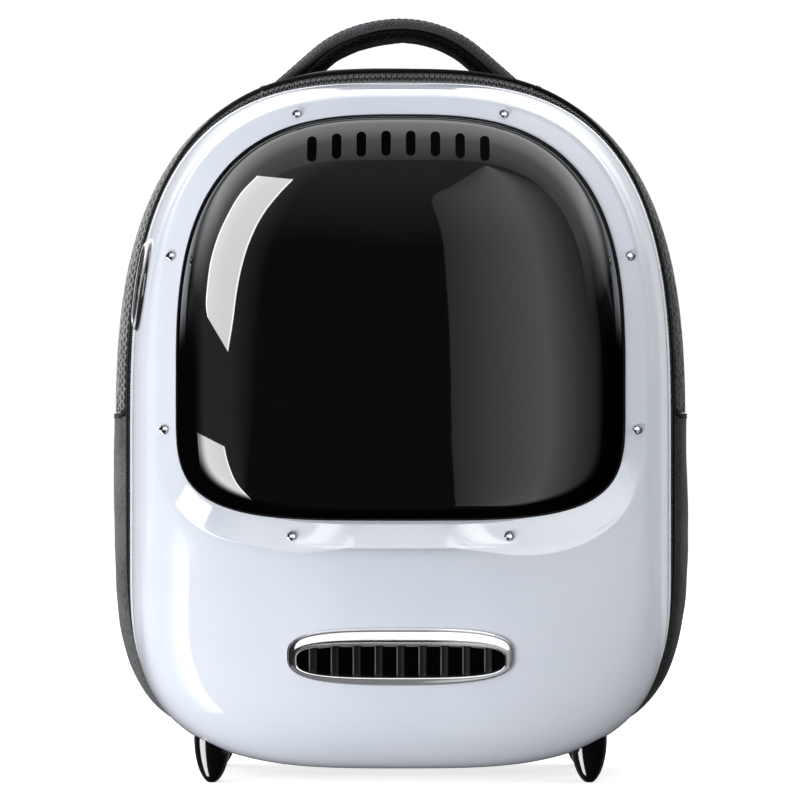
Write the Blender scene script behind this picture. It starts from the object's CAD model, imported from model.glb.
"""A pet carrier backpack, zipped shut, on a pale studio floor. Sizes are in millimetres until a piece is made."""
import math

import bmesh
import bpy
import numpy as np
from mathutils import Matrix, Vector
from mathutils.bvhtree import BVHTree


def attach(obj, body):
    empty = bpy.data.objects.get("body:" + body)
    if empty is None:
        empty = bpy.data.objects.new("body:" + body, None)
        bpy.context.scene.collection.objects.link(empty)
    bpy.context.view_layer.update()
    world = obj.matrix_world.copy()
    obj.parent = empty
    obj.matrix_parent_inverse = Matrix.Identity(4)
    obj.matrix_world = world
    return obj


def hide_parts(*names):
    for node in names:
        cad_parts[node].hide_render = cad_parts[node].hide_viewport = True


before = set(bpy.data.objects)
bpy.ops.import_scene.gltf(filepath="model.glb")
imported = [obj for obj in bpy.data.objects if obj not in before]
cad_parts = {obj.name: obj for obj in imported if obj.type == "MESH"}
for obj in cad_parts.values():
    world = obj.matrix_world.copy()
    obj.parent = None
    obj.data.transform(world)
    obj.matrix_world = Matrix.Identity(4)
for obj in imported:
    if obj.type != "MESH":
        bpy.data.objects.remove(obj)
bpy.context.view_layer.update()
scene = bpy.context.scene

SHIFT_Y = -31.8694  # from the bag's own depth to the frame's
FRONT_VIEW = 2800.0  # camera distance
PHOTO_SCALE = 0.57  # millimetres in a pixel of the photo at the zip's depth
PHOTO_SIZE = 800
EYE_HEIGHT = 214.5
EYE_SIDE = -0.3
SIDES = (("left", -1), ("right", 1))
MM = 0.001  # in metres

# Outlines: half width, top, upper centre, lower centre, bottom, top power, bottom power, y at top, sides and bottom
SHELL = np.array([
    [154.6, 395.9, 186, 123, 12, 3.1, 3.3, 8, 8, 8],
    [150.9, 392.8, 188, 123, 7.2, 3.1, 3.3, -30, -30, -30],
    [146.4, 388.8, 193, 128, 13, 3.05, 3.2, -51, -56, -64],
    [142.7, 386.6, 200, 144, 39, 3, 3.3, -58.5, -66, -86.5],
    [139.6, 384.9, 210, 176, 85, 3, 3.5, -63, -71.5, -94],
    [136.4, 383.1, 221, 206, 129.1, 3, 3.7, -66, -75.5, -93],
])
WINDOW_EDGE = np.array([124.6, 373.3, 226, 214, 147.7, 2.9, 4, -71, -79, -83])
DOME = np.array([
    [131.6, 379.2, 224, 211, 140.4, 2.95, 3.9, -63.2, -72.2, -82],
    [123.7, 372.3, 226, 214, 149.2, 2.9, 4, -66.2, -74.2, -77],
    [123.2, 371.8, 226, 214, 149.3, 2.9, 4, -71.5, -79.5, -82.5],
    [119.8, 367, 226, 213, 149.9, 2.85, 3.95, -82, -93, -98],
    [111, 355, 225, 212, 151.0, 2.75, 3.7, -97, -110, -116.5],
    [96, 337, 224, 212, 155.8, 2.6, 3.3, -112.5, -123.5, -129.5],
    [69, 308, 223, 213, 175, 2.4, 2.8, -127, -132.5, -136.2],
    [36, 271, 222, 215, 200, 2.2, 2.3, -135.8, -137, -137.6],
])
DOME_APEX = np.array([0, 226, 226, 226, 226, 2.1, 2.1, -138.5, -138.5, -138.5])


def level(rows):
    """Outlines that each lie at one depth, given once."""
    rows = np.array(rows, float)
    return np.hstack([rows, rows[:, -1:], rows[:, -1:]])


TAPE = level([
    [153.4, 395, 186, 123, 13, 3.1, 3.4, 8.7],
    [154.4, 398.4, 186, 140, 14, 3, 3.6, 15.4],
    [155.3, 402.2, 186, 164, 16.8, 2.95, 4.1, 23.4],
])
GUSSET = level([
    [156.6, 402.8, 186, 168, 16.5, 2.95, 4.2, 25.9],
    [162.4, 404.8, 186, 174, 14.5, 2.9, 4.3, 31],
    [165.6, 405.6, 186, 176, 13.5, 2.85, 4.4, 44],
    [166, 405.8, 186, 176, 13.5, 2.85, 4.4, 74],
    [164.2, 404.2, 186, 176, 14.5, 2.85, 4.4, 103],
    [160.2, 400.6, 186, 176, 17.5, 2.85, 4.3, 121],
])
BACK_SEAM, FRONT_PIPING, BACK_PIPING = level([
    [159, 399.4, 186, 176, 18.7, 2.85, 4.3, 121.4],
    [156.7, 403.7, 186, 168, 15.6, 2.95, 4.2, 24.2],
    [161.2, 401.6, 186, 176, 16.5, 2.85, 4.3, 122.9],
])


# Curves and surfaces
def turns(count):
    """Angles of a whole turn."""
    return np.linspace(0, 2 * math.pi, count + 1)[:-1]


def unit(v):
    return v / np.maximum(np.linalg.norm(v, axis=-1, keepdims=True), 1e-9)


def distances(line):
    """How far along a line each of its points is."""
    return np.concatenate([[0], np.cumsum(np.linalg.norm(np.diff(line, axis=0), axis=-1))])


def sample(line, far, at):
    """A line's values at other distances."""
    return np.stack([np.interp(at, far, column) for column in np.asarray(line).T], -1)


def oval(half, high, power, turn, drop=0.0):
    c, s = np.cos(turn), np.sin(turn)
    reach = (np.abs(c) ** power + np.abs(s) ** power) ** (-1 / power)
    return np.stack([half * c * reach, high * s * reach - drop], -1)


def smooth_rows(table, at):
    """Rows between those of a table, on a smooth curve through them all."""
    at = np.asarray(at, float)
    ends = np.vstack([2 * table[0] - table[1], table, 2 * table[-1] - table[-2]])
    span = np.clip(np.floor(at).astype(int), 0, len(table) - 2)
    t = (at - span)[..., None]
    a, b, c, d = (ends[span + k] for k in range(4))
    return b + 0.5 * t * (c - a + t * (2 * a - 5 * b + 4 * c - d + t * (3 * (b - c) + d - a)))


def spline(knots, values, at):
    """A natural cubic spline, with its curvature unbroken."""
    h = np.diff(knots)
    n = len(knots)
    system, right = np.eye(n), np.zeros_like(values)
    for i in range(1, n - 1):
        system[i, i - 1:i + 2] = h[i - 1], 2 * (h[i - 1] + h[i]), h[i]
        right[i] = 6 * ((values[i + 1] - values[i]) / h[i] - (values[i] - values[i - 1]) / h[i - 1])
    bend = np.linalg.solve(system, right)
    i = np.clip(np.searchsorted(knots, at) - 1, 0, n - 2)
    left, rest = (knots[i + 1] - at)[:, None], (at - knots[i])[:, None]
    w = h[i][:, None]
    return (
        (bend[i] * left ** 3 + bend[i + 1] * rest ** 3) / (6 * w)
        + (values[i] / w - bend[i] * w / 6) * left
        + (values[i + 1] / w - bend[i + 1] * w / 6) * rest
    )


def spot(rows, angle, blend):
    """Points of outlines: angle runs from +X over the top, blend is 1 above and 0 below the straight sides."""
    half, top, upper, lower, bottom, top_power, bottom_power, y_top, y_side, y_bottom = np.moveaxis(rows, -1, 0)
    c, s = np.cos(angle), np.sin(angle)
    power = np.where(blend > 0.5, top_power, bottom_power)
    reach = (np.abs(c) ** power + np.abs(s) ** power) ** (-1 / power)
    across, rise = c * reach, s * reach
    z = blend * (upper + (top - upper) * rise) + (1 - blend) * (lower + (lower - bottom) * rise)
    y_end = np.where(blend > 0.5, y_top, y_bottom)
    return np.stack(np.broadcast_arrays(half * across, y_end + (y_side - y_end) * across ** 2, z), -1)


def ring(upper=120, side=14, lower=120, angles=None):
    """The angles and blends of a whole outline, closer together on its round corners."""
    up = np.linspace(0, math.pi, upper + 1)
    down = np.linspace(math.pi, 2 * math.pi, lower + 1)
    up, down = (a + 0.3 * np.sin(4 * a) / 4 for a in (up, down))
    up = up if angles is None else np.asarray(angles)
    fall = np.linspace(1, 0, side + 1)[1:-1]
    angle = np.concatenate([up, np.full(side - 1, math.pi), down, np.full(side - 1, 2 * math.pi)])
    blend = np.concatenate([np.ones(len(up)), fall, np.zeros(lower + 1), fall[::-1]])
    return angle, blend


def grid_of(rows, stations):
    return spot(rows[:, None, :], stations[0][None, :], stations[1][None, :])


def normals_of(grid):
    """Outward normals of a grid of points whose rows go round the bag."""
    along = np.roll(grid, -1, 1) - np.roll(grid, 1, 1)
    normal = unit(np.cross(along, np.gradient(grid, axis=0)))
    away = grid - grid.reshape(-1, 3).mean(0)
    return normal if (normal * away).sum() > 0 else -normal


def cloth_map(grid):
    """Distances along and across a grid that goes round, for weave and stitching."""
    whole = np.concatenate([grid, grid[:, :1]], 1)
    along = distances(whole[len(whole) // 2])
    steps = np.linalg.norm(np.diff(whole, axis=0), axis=-1).mean(1)
    across = np.concatenate([[0], np.cumsum(steps)])
    return np.stack(np.broadcast_arrays(along[None, :], across[:, None]), -1)


def ripple(points, size, seed, count=9):
    """Smooth unevenness between -1 and 1, the same on every run."""
    draw = np.random.default_rng(seed)
    total = 0
    for _ in range(count):
        way = unit(draw.normal(size=3)) * 2 * math.pi / (size * draw.uniform(0.7, 1.6))
        total = total + np.sin(points @ way + draw.uniform(0, 6.3))
    return total / math.sqrt(count) / 1.6


# Meshes
class Faces:
    """Gathers the points, faces and cloth distances of one piece."""

    def __init__(self):
        self.points, self.quads, self.maps, self.finish, self.count = [], [], [], [], 0

    def add(self, points):
        flat = np.asarray(points, float).reshape(-1, 3)
        self.points.append(flat)
        self.count += len(flat)
        return np.arange(self.count - len(flat), self.count).reshape(np.shape(points)[:-1])

    def keep(self, quads, maps, finish=0):
        self.quads.append(quads)
        self.maps.append(maps)
        self.finish.append(np.full(len(quads), finish))

    def sheet(self, index, uv, wrap=False, flip=False, cells=None, finish=0):
        rows, columns = index.shape
        i, j = np.meshgrid(np.arange(rows - 1), np.arange(columns if wrap else columns - 1), indexing="ij")
        chosen = np.ones(i.shape, bool) if cells is None else cells[: i.shape[0], : i.shape[1]]
        i, j = i[chosen], j[chosen]
        k = (j + 1) % columns
        quads = np.stack([index[i, j], index[i, k], index[i + 1, k], index[i + 1, j]], 1)
        maps = np.stack([uv[i, j], uv[i, j + 1], uv[i + 1, j + 1], uv[i + 1, j]], 1)
        if flip:
            quads, maps = quads[:, ::-1], maps[:, ::-1]
        self.keep(quads, maps, finish)
        return quads, maps

    def wall(self, outer, inner, uv, wrap=True, flip=False, cells=None, lining=0):
        """A closed wall between two grids of points, with its edges."""
        a, b = self.add(outer), self.add(inner)
        quads, maps = self.sheet(a, uv, wrap, flip, cells)
        self.sheet(b, uv, wrap, not flip, cells, lining)
        edges = np.stack([quads, np.roll(quads, -1, 1)], 2).reshape(-1, 2)
        spots = np.stack([maps, np.roll(maps, -1, 1)], 2).reshape(-1, 2, 2)
        lone = ~np.isin(edges[:, 0] * 10 ** 7 + edges[:, 1], edges[:, 1] * 10 ** 7 + edges[:, 0])
        e, s, step = edges[lone], spots[lone], b.flat[0] - a.flat[0]
        self.keep(
            np.stack([e[:, 1], e[:, 0], e[:, 0] + step, e[:, 1] + step], 1),
            np.stack([s[:, 1], s[:, 0], s[:, 0], s[:, 1]], 1),
        )

    def fan(self, edge, middle, uv, turned, finish=0):
        """Closes a round edge with triangles to its middle."""
        tip = np.full(len(edge), self.add(middle[None])[0])
        following = np.roll(edge, -1)
        ends = [following, edge] if turned else [edge, following]
        self.keep(np.stack([*ends, tip, tip], 1), np.broadcast_to(uv, (len(edge), 4, 2)), finish)

    def tube(self, rings, loop=False, flip=False, finish=0):
        """Rings of points joined into a tube. Open ends are closed."""
        index = self.add(rings)
        uv = cloth_map(np.concatenate([rings, rings[:1]]) if loop else rings)
        self.sheet(np.vstack([index, index[:1]]) if loop else index, uv, True, flip, None, finish)
        if not loop:
            for end, turned in ((0, not flip), (-1, flip)):
                self.fan(index[end], np.asarray(rings[end]).mean(0), uv[end, 0], turned, finish)

    def copies(self, shape, faces, places, finish=0):
        """The same small shape at many places. A place is an origin and three axes."""
        origins, axes = places
        points = origins[:, None, :] + np.einsum("vk,nkx->nvx", shape, axes)
        index = self.add(points)
        uv = np.stack([points[..., 0] + points[..., 1], points[..., 2]], -1)
        self.keep(index[:, faces].reshape(-1, 4), uv[:, faces].reshape(-1, 4, 2), finish)


def mesh_of(name, faces, sharp=None, mirror=False):
    points = np.vstack(faces.points)
    quads, maps, finish = (np.concatenate(x) for x in (faces.quads, faces.maps, faces.finish))
    used, renumbered = np.unique(quads, return_inverse=True)
    points, quads = points[used] + [0, SHIFT_Y, 0], renumbered.reshape(-1, 4)
    if mirror:
        points, quads, maps = points * [-1, 1, 1], quads[:, ::-1], maps[:, ::-1]
    corners, spots = [], []
    for quad, spot_of in zip(quads.tolist(), maps.tolist()):
        if quad[2] == quad[3]:
            quad, spot_of = quad[:3], spot_of[:3]
        elif quad[0] == quad[1]:
            quad, spot_of = quad[1:], spot_of[1:]
        corners.append(quad)
        spots.extend(spot_of)
    mesh = bpy.data.meshes.new(name)
    mesh.from_pydata((points * MM).tolist(), [], corners)
    layer = mesh.uv_layers.new(name="cloth")
    layer.data.foreach_set("uv", np.array(spots).ravel())
    mesh.polygons.foreach_set("material_index", finish.astype(np.int32))
    mesh.shade_smooth()
    if sharp is not None:
        mesh.set_sharp_from_angle(angle=math.radians(sharp))
    mesh.update()
    return mesh


def piece(name, mesh, materials, slot, *nodes):
    made = bpy.data.objects.new(name, mesh)
    scene.collection.objects.link(made)
    for material in materials:
        mesh.materials.append(material)
    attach(made, "root")
    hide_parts(*nodes)
    return made


def bake(made):
    """Takes a piece's modifiers into its mesh."""
    shaped = made.evaluated_get(bpy.context.evaluated_depsgraph_get())
    mesh = bpy.data.meshes.new_from_object(shaped)
    mesh.name = made.name
    made.modifiers.clear()
    old, made.data = made.data, mesh
    bpy.data.meshes.remove(old)


class Surface:
    """Triangles with a normal at each corner."""

    def __init__(self, points, normals, corners):
        self.points, self.normals, self.corners = points, normals, corners
        self.tree = BVHTree.FromPolygons(points, corners)

    def normal(self, place, face):
        """The corners' normals blended at a place, not yet of unit length."""
        a, b, c = (self.points[k] for k in self.corners[face])
        u, v, w = b - a, c - a, place - a
        uu, uv, vv, wu, wv = u.dot(u), u.dot(v), v.dot(v), w.dot(u), w.dot(v)
        size = uu * vv - uv * uv
        s = t = 1 / 3
        if abs(size) >= 1e-24:
            s, t = (vv * wu - uv * wv) / size, (uu * wv - uv * wu) / size
        a, b, c = (self.normals[k] for k in self.corners[face])
        return a * (1 - s - t) + b * s + c * t


def carve(made, *tools):
    """Cuts solids out of a piece, and keeps the shading of the surface round the cuts."""
    old = made.data.copy()
    for tool in tools:
        cutter = bpy.data.objects.new("cutter", mesh_of("cutter", tool))
        scene.collection.objects.link(cutter)
        cut = made.modifiers.new("cut", "BOOLEAN")
        cut.object, cut.operation, cut.solver = cutter, "DIFFERENCE", "EXACT"
        bake(made)
        bpy.data.objects.remove(cutter)
    shade_like(made.data, old)
    bpy.data.meshes.remove(old)


def shade_like(mesh, model):
    """Gives a cut mesh the smooth normals of the uncut one, except on the walls of the cuts."""
    model.calc_loop_triangles()
    skin = Surface(
        [v.co.copy() for v in model.vertices], [v.normal.copy() for v in model.vertices],
        [tuple(t.vertices) for t in model.loop_triangles])
    normals = []
    for face in mesh.polygons:
        for vertex in face.vertices:
            place, _, triangle, _ = skin.tree.find_nearest(mesh.vertices[vertex].co)
            normal = skin.normal(place, triangle)
            normals.append(normal.normalized() if normal.dot(face.normal) > 0.55 else face.normal.copy())
    mesh.normals_split_custom_set(normals)


# Small repeated shapes
def bead(around=8, along=5):
    """A rounded grain, 2 long in its first axis and 2 across."""
    turn = np.linspace(-math.pi / 2, math.pi / 2, along + 1)[:, None]
    spin = turns(around)
    wide = np.cos(turn) ** 0.6
    grid = np.stack(np.broadcast_arrays(
        np.sign(np.sin(turn)) * np.abs(np.sin(turn)) ** 0.6, wide * np.cos(spin), wide * np.sin(spin),
    ), -1).reshape(-1, 3)
    index = np.arange((along + 1) * around).reshape(along + 1, around)
    nxt = np.roll(index, -1, 1)
    return grid, np.stack([index[:-1], nxt[:-1], nxt[1:], index[1:]], -1).reshape(-1, 4)


def walk(line, pitch):
    """Evenly spaced places along a line, with the directions there."""
    far = distances(line)
    count = max(2, int(round(far[-1] / pitch)))
    at = (np.arange(count) + 0.5) * far[-1] / count
    return sample(line, far, at), unit(sample(line, far, at + 0.4) - sample(line, far, at - 0.4)), at


def stitch(faces, line, outward, pitch=4.4, length=3.1, width=0.55):
    """A row of sewn stitches along a line that lies on a surface, in the piece's second material."""
    place, along, at = walk(line, pitch)
    up = sample(outward, distances(line), at)
    up = unit(up - along * (up * along).sum(1, keepdims=True))
    axes = np.stack([along * length / 2, np.cross(up, along) * width, up * width * 0.8], 1)
    faces.copies(*bead(6, 4), (place + up * 0.12, axes), 1)


# Materials
class Nodes:
    """Adds shader nodes to a tree. An input is a value or another node's output."""

    def __init__(self, tree):
        self.tree = tree

    def feed(self, socket, value):
        if isinstance(value, bpy.types.NodeSocket):
            self.tree.links.new(value, socket)
        elif value is not None:
            socket.default_value = value

    def node(self, kind, *inputs, out=0, **settings):
        made = self.tree.nodes.new("ShaderNode" + kind)
        for key, value in settings.items():
            setattr(made, key, value)
        for socket, value in zip(made.inputs, inputs):
            self.feed(socket, value)
        return made.outputs[out]

    def math(self, operation, *inputs):
        return self.node("Math", *inputs, operation=operation)

    def ramp(self, value, *stops):
        made = self.node("ValToRGB", value).node
        line = made.color_ramp.elements
        while len(line) < len(stops):
            line.new(0.5)
        for element, (at, colour) in zip(line, stops):
            element.position = at
            element.color = (*colour, 1) if isinstance(colour, tuple) else (colour, colour, colour, 1)
        return made.outputs[0]


class Finish(Nodes):
    """A material whose detail comes from its nodes."""

    def __init__(self, name, **values):
        self.material = bpy.data.materials.new(name)
        self.material.use_nodes = True
        super().__init__(self.material.node_tree)
        self.shader = self.tree.nodes["Principled BSDF"]
        self.set(**values)

    def set(self, **values):
        for key, value in values.items():
            self.feed(self.shader.inputs[key.replace("_", " ")], value)

    def cloth(self):
        both = self.node("SeparateXYZ", self.node("UVMap", uv_map="cloth")).node
        return both.outputs[0], both.outputs[1]

    def place(self):
        return self.node("TexCoord", out=3)

    def noise(self, vector, scale, detail=3.0, rough=0.55):
        made = self.node("TexNoise", vector).node
        for key, value in (("Scale", scale), ("Detail", detail), ("Roughness", rough)):
            made.inputs[key].default_value = value
        return made.outputs[0]

    def band(self, value, low, high):
        return self.node("MapRange", value, 0.0, 1.0, low, high)

    def ease(self, value, start, end):
        """0 before start and 1 after end, with a soft step between them."""
        limits = (end, start, 1.0, 0.0) if start > end else (start, end, 0.0, 1.0)
        return self.node("MapRange", value, *limits, interpolation_type="SMOOTHSTEP")

    def bump(self, height, depth):
        made = self.node("Bump").node
        for key, value in (("Strength", 1.0), ("Distance", depth), ("Height", height)):
            self.feed(made.inputs[key], value)
        self.set(Normal=made.outputs[0])

    def weave(self, pitch, second=None):
        """Threads over and under each other, from 0 to 1, in the cloth's own directions."""
        warp, weft = (
            self.math("SINE", self.math("MULTIPLY", way, 2 * math.pi / step))
            for way, step in zip(self.cloth(), (pitch, second or pitch)))
        return self.math("MULTIPLY_ADD", self.math("MULTIPLY", warp, weft), 0.5, 0.5)


def plastic(name, dark, light, rough, grain, depth, **values):
    made = Finish(name, **values)
    where = made.place()
    made.set(
        Base_Color=made.ramp(made.noise(where, 22.0, 4.0), (0.3, dark), (0.7, light)),
        Roughness=made.band(made.noise(where, 60.0, 5.0), *rough),
    )
    made.bump(made.noise(where, grain, 2.0), depth)
    return made.material


def textile(name, dark, light, pitch, depth, second=None, rough=0.9, fleck=620.0):
    made = Finish(name, Sheen_Weight=0.25, Sheen_Roughness=0.45, Specular_IOR_Level=0.25)
    where = made.place()
    threads = made.weave(pitch, second)
    yarn = made.noise(where, fleck, 3.0, 0.7)
    wide = made.noise(where, 28.0, 4.0, 0.6)
    mixed = made.math("MULTIPLY_ADD", yarn, 0.7, made.math("MULTIPLY", threads, 0.3))
    shade = made.math("MULTIPLY_ADD", wide, 0.3, made.math("MULTIPLY", mixed, 0.8))
    made.set(
        Base_Color=made.ramp(shade, (0.36, dark), (0.72, light)),
        Roughness=made.band(yarn, rough - 0.12, min(1.0, rough + 0.08)),
    )
    made.bump(made.math("MULTIPLY_ADD", yarn, 0.35, threads), depth)
    return made.material


def bright_metal(name, tint, rough, brush):
    made = Finish(name, Metallic=1.0)
    where = made.place()
    lighter = tuple(min(1, x * 1.06) for x in tint)
    made.set(
        Base_Color=made.ramp(made.noise(where, 30.0, 4.0), (0.3, tint), (0.75, lighter)),
        Roughness=made.band(made.noise(where, brush, 5.0, 0.7), *rough),
    )
    made.bump(made.noise(where, 420.0, 2.0), 0.00002)
    return made.material


def netted(name, dark, light, pitch, depth):
    """Spacer mesh: staggered round holes between soft knitted ribs."""
    made = Finish(name, Sheen_Weight=0.08, Sheen_Roughness=0.5, Specular_IOR_Level=0.12)
    u, v = made.cloth()
    lean = made.math("MULTIPLY", u, 2 * math.pi / pitch)
    climb = made.math("MULTIPLY", v, 2 * math.pi / (pitch * 1.6))
    a, b = (made.math("COSINE", made.math(way, lean, climb)) for way in ("ADD", "SUBTRACT"))
    ribs = made.math("MULTIPLY_ADD", made.math("ADD", a, b), 0.25, 0.5)
    yarn = made.noise(made.place(), 1100.0, 2.0, 0.7)
    made.set(
        Base_Color=made.ramp(made.math("MULTIPLY_ADD", yarn, 0.25, ribs), (0.3, dark), (0.8, light)),
        Roughness=made.band(yarn, 0.75, 0.98),
    )
    made.bump(made.math("MULTIPLY_ADD", yarn, 0.2, ribs), depth)
    return made.material


def smoked():
    """Dark clear plastic. The steep rim of its lower half is printed black and has no gloss, nor has its limb."""
    made = Finish("smoked_plastic", IOR=2.0)
    where = made.place()
    steep = made.node("SeparateXYZ", made.node("NewGeometry", out=1), out=1)
    low = made.node("SeparateXYZ", where, out=2)
    printed = made.math("MULTIPLY", made.ease(steep, -0.7, -0.44), made.ease(low, 0.285, 0.225))
    grazing = made.ease(made.node("LayerWeight", 0.5, out=1), 0.54, 0.72)
    matt = made.math("MAXIMUM", printed, made.math("MULTIPLY", grazing, made.ease(steep, -0.34, -0.46)))
    gloss = made.math("POWER", made.math("SUBTRACT", 1.0, matt), 6.0)
    dark, light = (0.0008, 0.0008, 0.0009), (0.0014, 0.0014, 0.0016)
    made.set(
        Base_Color=made.ramp(made.noise(where, 22.0, 4.0), (0.3, dark), (0.7, light)),
        Roughness=made.band(made.noise(where, 60.0, 5.0), 0.02, 0.04),
        Specular_IOR_Level=made.math("MULTIPLY", gloss, 0.5),
    )
    made.bump(made.noise(where, 160.0, 2.0), 0.000002)
    return made.material


SHELL_PLASTIC = plastic(
    "shell_plastic", (0.70, 0.745, 0.83), (0.73, 0.775, 0.855), (0.03, 0.05), 900.0, 0.000004,
    Coat_Weight=0.4, Coat_Roughness=0.03, IOR=1.5)
SMOKED = smoked()
RUBBER = plastic("seal_rubber", (0.006, 0.006, 0.007), (0.012, 0.012, 0.013), (0.38, 0.6), 1400.0, 0.00006)
CHROME = bright_metal("vent_chrome", (0.82, 0.83, 0.85), (0.06, 0.14), 500.0)
RIVET_STEEL = bright_metal("rivet_steel", (0.72, 0.74, 0.79), (0.08, 0.2), 700.0)
GLOSS_BLACK = plastic(
    "gloss_black", (0.0012, 0.0012, 0.0014), (0.0028, 0.0028, 0.0032), (0.08, 0.2), 700.0, 0.00001,
    Coat_Weight=0.4, Coat_Roughness=0.05)
MOULDED_BLACK = plastic("moulded_black", (0.007, 0.007, 0.008), (0.014, 0.014, 0.015), (0.46, 0.6), 2200.0, 0.00005)
LOUVRE_BLACK = plastic(
    "louvre_black", (0.0025, 0.0023, 0.0023), (0.007, 0.0066, 0.0066), (0.24, 0.38), 1600.0, 0.00003)
LOUVRE_EDGE = plastic("louvre_edge", (0.09, 0.088, 0.088), (0.16, 0.158, 0.158), (0.3, 0.45), 1600.0, 0.00003)
FABRIC = textile("body_fabric", (0.022, 0.022, 0.025), (0.19, 0.19, 0.2), 1.5, 0.00022)
TAPE_CLOTH = textile("zip_tape_weave", (0.045, 0.045, 0.05), (0.19, 0.19, 0.2), 1.3, 0.00016, 2.1)
NET_YARN = textile("net_yarn", (0.1, 0.1, 0.104), (0.4, 0.4, 0.41), 0.9, 0.00012, fleck=1500.0)
BINDING = textile("binding_tape", (0.004, 0.004, 0.005), (0.02, 0.02, 0.022), 0.9, 0.00012, 1.6)
HANDLE_WEB = textile("handle_webbing", (0.04, 0.04, 0.044), (0.17, 0.17, 0.18), 1.9, 0.0003, 2.8)
WEBBING = textile("strap_webbing", (0.010, 0.010, 0.011), (0.045, 0.045, 0.048), 2.2, 0.00035, 1.5)
HANDLE_MESH = netted("handle_mesh", (0.0007, 0.0007, 0.0008), (0.006, 0.006, 0.0065), 3.2, 0.0005)
SPACER = netted("spacer_mesh", (0.003, 0.003, 0.0035), (0.026, 0.026, 0.028), 3.4, 0.0006)
BACK_MESH = netted("back_mesh", (0.004, 0.004, 0.005), (0.04, 0.04, 0.043), 4.2, 0.0008)
LINING = textile("cabin_lining", (0.006, 0.006, 0.007), (0.018, 0.018, 0.02), 1.6, 0.0001)
THREAD = textile("sewing_thread", (0.01, 0.01, 0.011), (0.05, 0.05, 0.054), 0.5, 0.00008, rough=0.7)
PALE_THREAD = textile("grey_thread", (0.05, 0.05, 0.053), (0.16, 0.16, 0.168), 0.5, 0.00008, rough=0.7)
COIL_NYLON = plastic("coil_nylon", (0.006, 0.006, 0.007), (0.02, 0.02, 0.022), (0.3, 0.5), 1800.0, 0.00003)

# Camera and light
camera = bpy.data.objects.new("camera", bpy.data.cameras.new("camera"))
scene.collection.objects.link(camera)
camera.data.sensor_width = 36.0
camera.data.lens = 36.0 * FRONT_VIEW / (PHOTO_SCALE * PHOTO_SIZE)
camera.data.clip_end = 50.0
camera.location = (EYE_SIDE * MM, (SHIFT_Y - FRONT_VIEW) * MM, EYE_HEIGHT * MM)
camera.rotation_euler = (math.pi / 2, 0, 0)
scene.camera = camera
scene.view_settings.view_transform = "Standard"
scene.view_settings.look = "None"


def softbox(name, place, aim, wide, high, radiance, glossy=False, diffuse=True):
    light = bpy.data.lights.new(name, "AREA")
    light.shape = "RECTANGLE"
    light.size, light.size_y = wide, high
    light.energy = radiance * math.pi * wide * high
    made = bpy.data.objects.new(name, light)
    scene.collection.objects.link(made)
    made.location = place
    made.rotation_euler = (Vector(aim) - Vector(place)).to_track_quat("-Z", "Y").to_euler()
    made.visible_glossy, made.visible_diffuse, made.visible_camera = glossy, diffuse, False
    return made


def card(name, grid, stops):
    """A card that only shows in glossy surfaces. It glows by stops across its width, from left to right."""
    u, v = np.meshgrid(np.linspace(0, 1, grid.shape[1]), np.linspace(0, 1, grid.shape[0]))
    faces = Faces()
    faces.sheet(faces.add(grid), np.stack([u, v], -1))
    made = bpy.data.objects.new(name, mesh_of(name, faces))
    scene.collection.objects.link(made)
    glow = Finish(name + "_glow")
    top = max(tone for _, tone in stops)
    light = glow.node("Emission", glow.ramp(glow.cloth()[0], *[(at, tone / top) for at, tone in stops]), top)
    both = glow.node("AddShader", light, glow.node("BsdfTransparent"))
    glow.feed(glow.tree.nodes["Material Output"].inputs[0], both)
    glow.tree.nodes.remove(glow.shader)
    made.data.materials.append(glow.material)
    made.visible_camera = made.visible_diffuse = made.visible_shadow = False
    return made


def upright(name, centre, far, azimuths, lows, highs, stops):
    """A standing card between two azimuths as seen from a centre, with the elevations of its corners."""
    corners = []
    for elevations in (lows, highs):
        for az, el in zip(azimuths, elevations):
            turn = math.radians(az)
            out = [math.sin(turn), -math.cos(turn), math.tan(math.radians(el))]
            corners.append((np.array(centre) + far * np.array(out)) * 1000 - [0, SHIFT_Y, 0])
    left_low, right_low, left_high, right_high = corners
    u, v = (x[..., None] for x in np.meshgrid(np.linspace(0, 1, 13), np.linspace(0, 1, 9)))
    low, high = (1 - u) * left_low + u * right_low, (1 - u) * left_high + u * right_high
    return card(name, (1 - v) * low + v * high, stops)


class Mirror(Surface):
    """A smooth glossy surface that the camera looks at."""

    def __init__(self, grid, normals):
        index = np.arange(grid.shape[0] * grid.shape[1]).reshape(grid.shape[:2])
        ahead = np.roll(index, -1, 1)
        halves = (index[:-1], ahead[:-1], ahead[1:]), (index[:-1], ahead[1:], index[1:])
        corners = np.concatenate([np.stack(half, -1).reshape(-1, 3) for half in halves]).tolist()
        super().__init__(*([Vector(p) for p in x.reshape(-1, 3).tolist()] for x in (grid, normals)), corners)

    def beyond(self, x, y, far):
        """The place, that far off, which the camera sees in the surface at a pixel of the photo."""
        half, face = PHOTO_SIZE / 2, None
        while face is None:  # a pixel just off the surface moves onto it
            way = Vector(((x - half) * PHOTO_SCALE, FRONT_VIEW, (half - y) * PHOTO_SCALE)).normalized()
            place, _, face, _ = self.tree.ray_cast(Vector((EYE_SIDE, -FRONT_VIEW, EYE_HEIGHT)), way)
            x = half + (x - half) * 0.998
        return place + far * way.reflect(self.normal(place, face).normalized())

    def card(self, name, edges, far, stops, along=False):
        """A card that shows in the surface between two edges. A row of edges is a pixel on each of them."""
        rows = smooth_rows(np.array(edges, float), np.linspace(0, len(edges) - 1, 121 if along else 33))
        share = np.linspace(0, 1, 17)[:, None]
        grid = [[self.beyond(*at, far) for at in row[:2] + share * (row[2:] - row[:2])] for row in rows]
        return card(name, np.swapaxes(grid, 0, 1) if along else np.array(grid), stops)


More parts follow.
